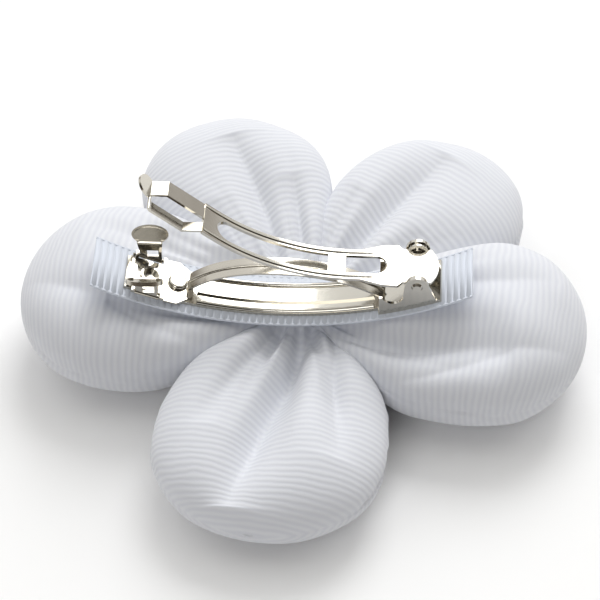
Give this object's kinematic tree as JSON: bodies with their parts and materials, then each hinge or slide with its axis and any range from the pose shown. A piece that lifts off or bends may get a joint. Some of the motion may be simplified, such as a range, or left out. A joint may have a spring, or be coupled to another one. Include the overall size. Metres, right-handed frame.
{
  "type": "flower hair clip",
  "caption": "Padded fabric flower on a sprung metal barrette: the clasp arm swings open on its hinge and shuts into a catch with two finger pads.",
  "frame": {"origin": "middle of the flower's front face, which is the face it lies on", "axes": "+Z from the flower's front towards the barrette on its back, +X along the barrette from its catch to its hinge, +Y across the barrette"},
  "size_m": [0.1093, 0.1059, 0.0479],
  "materials": {
    "nickel_plated_steel": "bright nickel plate",
    "nickel_plated_spring_steel": "bright nickel plate on spring steel",
    "grosgrain_ribbon": "cross-ribbed woven ribbon",
    "ribbed_cotton": "fine-wale ribbed cotton",
    "fibre_fill": "loose polyester fibre",
    "button_metal": "plain pressed sheet",
    "button_nylon": "moulded",
    "sewing_thread": "spun thread"
  },
  "bodies": {
    "flower_and_base": {"base_plate": "nickel_plated_steel", "hinge_rivets": "nickel_plated_steel", "catch_bracket": "nickel_plated_steel", "catch_rivet": "nickel_plated_steel", "jaw_pins": "nickel_plated_steel", "bow_spring": "nickel_plated_spring_steel", "grosgrain_ribbon": "grosgrain_ribbon", "petal_cover_a": "ribbed_cotton", "petal_cover_b": "ribbed_cotton", "petal_cover_c": "ribbed_cotton", "petal_cover_d": "ribbed_cotton", "petal_cover_e": "ribbed_cotton", "petal_fill_a": "fibre_fill", "petal_fill_b": "fibre_fill", "petal_fill_c": "fibre_fill", "petal_fill_d": "fibre_fill", "petal_fill_e": "fibre_fill", "button_cover": "ribbed_cotton", "button_shell": "button_metal", "button_back": "button_nylon", "gather_thread": "sewing_thread"},
    "clasp_arm_body": {"clasp_arm": "nickel_plated_steel"},
    "far_jaw": {"catch_jaw_far": "nickel_plated_spring_steel"},
    "near_jaw": {"catch_jaw_near": "nickel_plated_spring_steel"}
  },
  "joints": [
    {"name": "arm_hinge", "type": "hinge", "parent": "flower_and_base", "child": "clasp_arm_body", "pos_m": [0.0225, -0.0015, 0.0274], "axis": [0, 1, 0], "range_deg": [-21, 36], "stiffness_Nm_per_rad": 0.004, "deforming": ["bow_spring"]},
    {"name": "far_jaw_flex", "type": "hinge", "parent": "flower_and_base", "child": "far_jaw", "pos_m": [-0.02875, 0.0032, 0.02286], "axis": [0.93, 0, -0.3676], "range_deg": [-10, 0], "stiffness_Nm_per_rad": 0.01},
    {"name": "near_jaw_flex", "type": "hinge", "parent": "flower_and_base", "child": "near_jaw", "pos_m": [-0.02875, -0.0062, 0.02286], "axis": [0.93, 0, -0.3676], "range_deg": [0, 10], "stiffness_Nm_per_rad": 0.01}
  ],
  "couplings": [
    {"joint": "near_jaw_flex", "follows": "far_jaw_flex", "ratio": -1}
  ]
}
